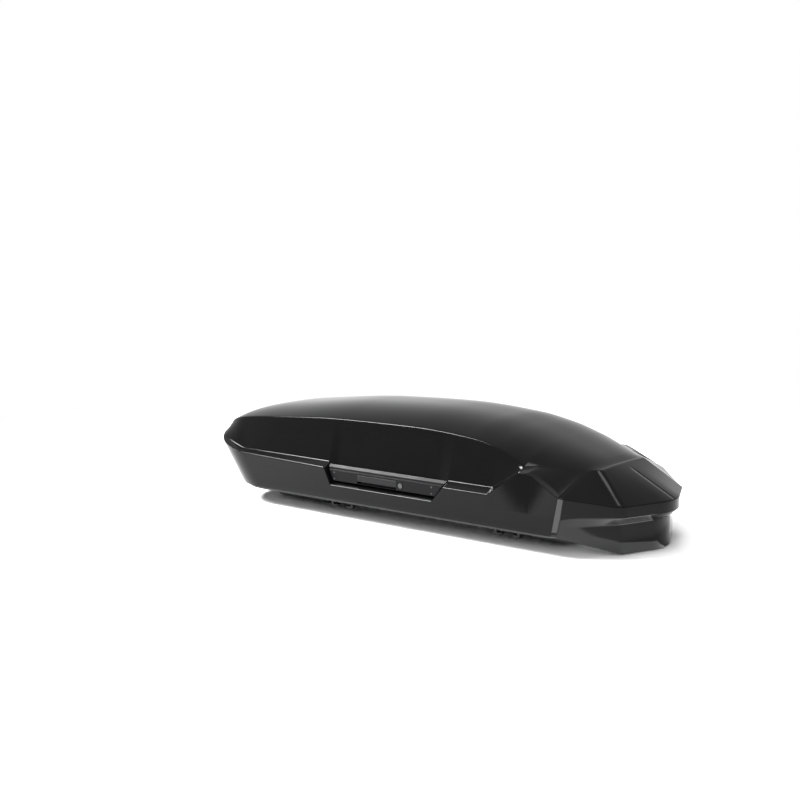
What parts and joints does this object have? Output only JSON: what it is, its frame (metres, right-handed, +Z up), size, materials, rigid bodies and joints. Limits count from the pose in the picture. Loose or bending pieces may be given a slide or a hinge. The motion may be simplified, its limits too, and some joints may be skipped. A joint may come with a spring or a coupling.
{
  "type": "roof box",
  "caption": "Car roof box: a long wedge-nosed lid hinged on one side over a tray that clamps to two crossbars, with a side lock and lid supports.",
  "frame": {"origin": "on the plane of the crossbars' upper faces, midway between the bars, on the box's centre line", "axes": "+X towards the nose, +Y towards the hinge side, +Z up"},
  "size_m": [1.7749, 0.652, 0.3852],
  "materials": {
    "lid_gloss": "high gloss black, moulded",
    "tray_plastic": "black, fine grain",
    "bow_plastic": "black, moulded",
    "steel": "zinc plated",
    "aluminium": "anodised, extruded and cut",
    "painted_steel": "black powder coat",
    "moulded_black": "black, fine grain",
    "knob_plastic": "dark grey, fine grain",
    "key_metal": "satin nickel",
    "rubber": "black",
    "felt": "grey needle felt",
    "webbing": "black woven webbing"
  },
  "bodies": {
    "tray": {"base_tray": "tray_plastic", "keel_pans": "tray_plastic", "floor_rails": "steel", "bar_pads": "rubber", "floor_mat": "felt", "rim_seal": "rubber", "hinge_leaves_tray": "steel", "hinge_pins": "steel", "support_brackets_tray": "painted_steel", "support_pins_tray": "steel", "clamp_housings": "moulded_black", "clamp_fixed_jaws": "painted_steel", "striker_pins": "steel", "strap_anchors": "moulded_black", "strap_buckles": "moulded_black", "load_strap_front": "webbing", "load_strap_rear": "webbing"},
    "lid": {"lid_shell": "lid_gloss", "lid_bow_rear": "bow_plastic", "lid_bow_front": "bow_plastic", "hinge_leaves_lid": "steel", "hinge_rivets": "steel", "support_brackets_lid": "painted_steel", "support_pins_lid": "steel", "lock_plate": "moulded_black", "lock_case": "moulded_black", "lock_rail_guides": "moulded_black", "handle_pin": "steel"},
    "arms_lower": {"support_arms_lower": "painted_steel", "support_knee_pins": "steel"},
    "arms_upper": {"support_arms_upper": "painted_steel"},
    "handle": {"pull_handle": "moulded_black"},
    "key": {"key_barrel": "key_metal"},
    "bolt": {"lock_rail": "aluminium"},
    "knob_front_right": {"clamp_knob_front_right": "knob_plastic", "clamp_spindle_front_right": "steel"},
    "jaw_front_right": {"clamp_jaw_front_right": "painted_steel"},
    "knob_front_left": {"clamp_knob_front_left": "knob_plastic", "clamp_spindle_front_left": "steel"},
    "jaw_front_left": {"clamp_jaw_front_left": "painted_steel"},
    "knob_rear_right": {"clamp_knob_rear_right": "knob_plastic", "clamp_spindle_rear_right": "steel"},
    "jaw_rear_right": {"clamp_jaw_rear_right": "painted_steel"},
    "knob_rear_left": {"clamp_knob_rear_left": "knob_plastic", "clamp_spindle_rear_left": "steel"},
    "jaw_rear_left": {"clamp_jaw_rear_left": "painted_steel"}
  },
  "joints": [
    {"name": "lid_hinge", "type": "hinge", "parent": "tray", "child": "lid", "pos_m": [0, 0.314, 0.02], "axis": [-1, 0, 0], "range_deg": [0, 60]},
    {"name": "lower_arm_pivot", "type": "hinge", "parent": "tray", "child": "arms_lower", "pos_m": [0, 0.124, 0.02], "axis": [-1, 0, 0], "range_deg": [0, 60]},
    {"name": "upper_arm_pivot", "type": "hinge", "parent": "lid", "child": "arms_upper", "pos_m": [0, 0.20502, 0.17564], "axis": [-1, 0, 0], "range_deg": [-60, 0]},
    {"name": "handle_pull", "type": "hinge", "parent": "lid", "child": "handle", "pos_m": [-0.112, -0.3045, 0.105], "axis": [-1, 0, 0], "range_deg": [0, 35]},
    {"name": "lock_rail_slide", "type": "slide", "parent": "lid", "child": "bolt", "axis": [1, 0, 0], "range_m": [0, 0.012]},
    {"name": "key_turn", "type": "hinge", "parent": "lid", "child": "key", "pos_m": [-0.009, -0.31, 0.0945], "axis": [0, 1, 0], "range_deg": [0, 90]},
    {"name": "knob_turn_front_right", "type": "hinge", "parent": "tray", "child": "knob_front_right", "pos_m": [0.35, -0.205, 0.05], "axis": [0, 0, 1], "range_deg": [0, 1080]},
    {"name": "jaw_slide_front_right", "type": "slide", "parent": "tray", "child": "jaw_front_right", "axis": [-1, 0, 0], "range_m": [0, 0.024]},
    {"name": "knob_turn_front_left", "type": "hinge", "parent": "tray", "child": "knob_front_left", "pos_m": [0.35, 0.205, 0.05], "axis": [0, 0, 1], "range_deg": [0, 1080]},
    {"name": "jaw_slide_front_left", "type": "slide", "parent": "tray", "child": "jaw_front_left", "axis": [-1, 0, 0], "range_m": [0, 0.024]},
    {"name": "knob_turn_rear_right", "type": "hinge", "parent": "tray", "child": "knob_rear_right", "pos_m": [-0.35, -0.205, 0.05], "axis": [0, 0, 1], "range_deg": [0, 1080]},
    {"name": "jaw_slide_rear_right", "type": "slide", "parent": "tray", "child": "jaw_rear_right", "axis": [-1, 0, 0], "range_m": [0, 0.024]},
    {"name": "knob_turn_rear_left", "type": "hinge", "parent": "tray", "child": "knob_rear_left", "pos_m": [-0.35, 0.205, 0.05], "axis": [0, 0, 1], "range_deg": [0, 1080]},
    {"name": "jaw_slide_rear_left", "type": "slide", "parent": "tray", "child": "jaw_rear_left", "axis": [-1, 0, 0], "range_m": [0, 0.024]}
  ],
  "couplings": [
    {"joint": "lower_arm_pivot", "follows": "lid_hinge", "ratio": 1},
    {"joint": "upper_arm_pivot", "follows": "lid_hinge", "ratio": -1},
    {"joint": "handle_pull", "follows": "lock_rail_slide", "rad_per_m": 50.9},
    {"joint": "jaw_slide_front_right", "follows": "knob_turn_front_right", "m_per_rad": 0.0012732},
    {"joint": "jaw_slide_front_left", "follows": "knob_turn_front_left", "m_per_rad": 0.0012732},
    {"joint": "jaw_slide_rear_right", "follows": "knob_turn_rear_right", "m_per_rad": 0.0012732},
    {"joint": "jaw_slide_rear_left", "follows": "knob_turn_rear_left", "m_per_rad": 0.0012732}
  ]
}
